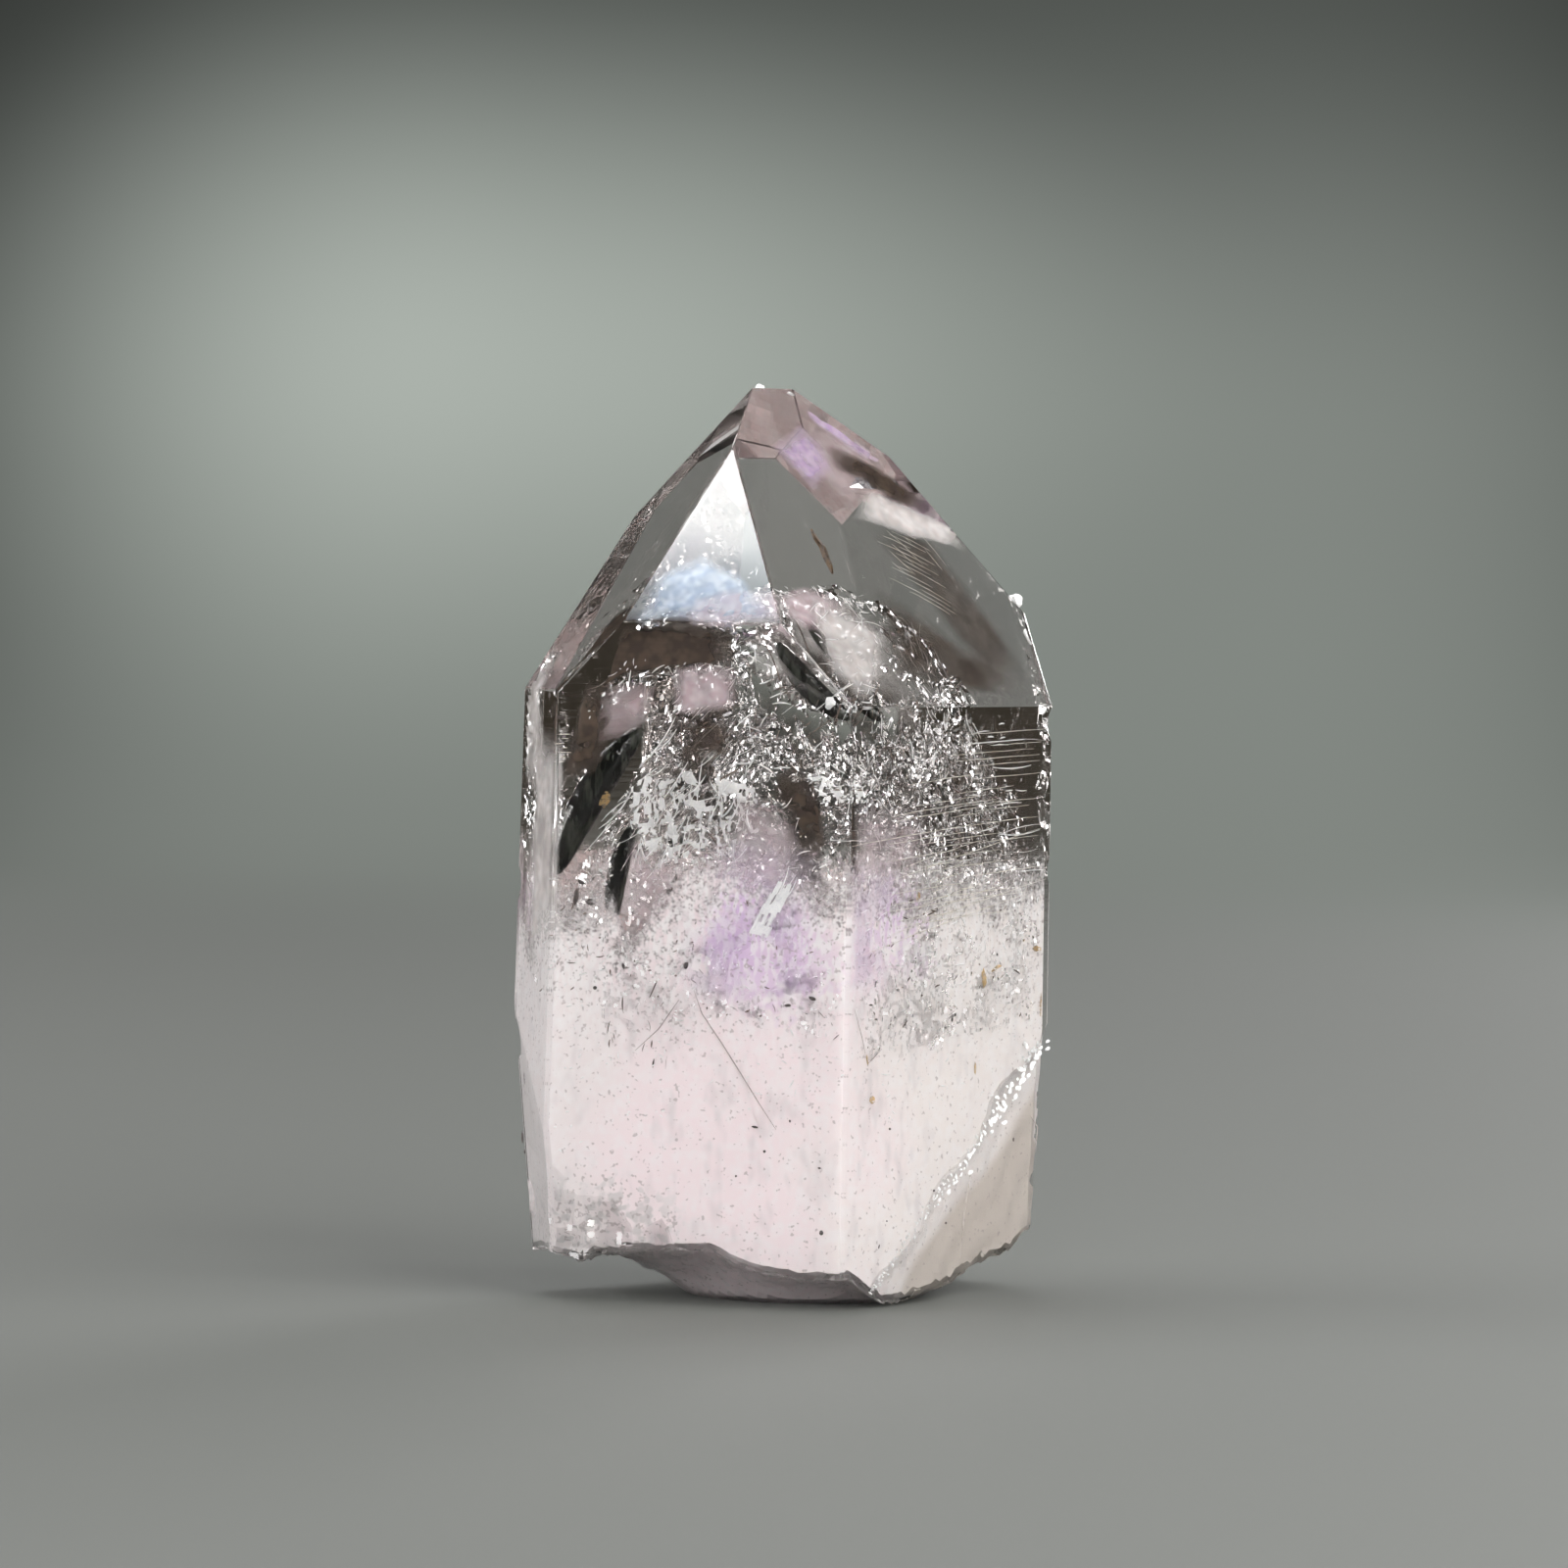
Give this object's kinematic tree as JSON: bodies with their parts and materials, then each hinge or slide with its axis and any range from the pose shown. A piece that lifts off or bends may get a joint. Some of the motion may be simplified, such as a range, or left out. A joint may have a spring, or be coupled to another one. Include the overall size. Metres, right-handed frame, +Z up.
{
  "type": "enhydro amethyst crystal",
  "caption": "Single amethyst point with a six-sided pointed end, milky foot and water sealed in long pockets inside.",
  "frame": {"origin": "middle of the crystal's box at the height of the flat patch of the foot that it stands on", "axes": "+Z up along the crystal's long axis, +X to the right and -Y towards the viewer of the broad front face"},
  "size_m": [0.033, 0.0272, 0.0563],
  "materials": {
    "amethyst": "polished",
    "pocket_water": "gloss"
  },
  "bodies": {
    "root": {"crystal_front": "amethyst", "crystal_back": "amethyst", "water_pocket_left": "pocket_water", "water_pocket_lower": "pocket_water", "water_pocket_upper": "pocket_water"}
  },
  "joints": []
}
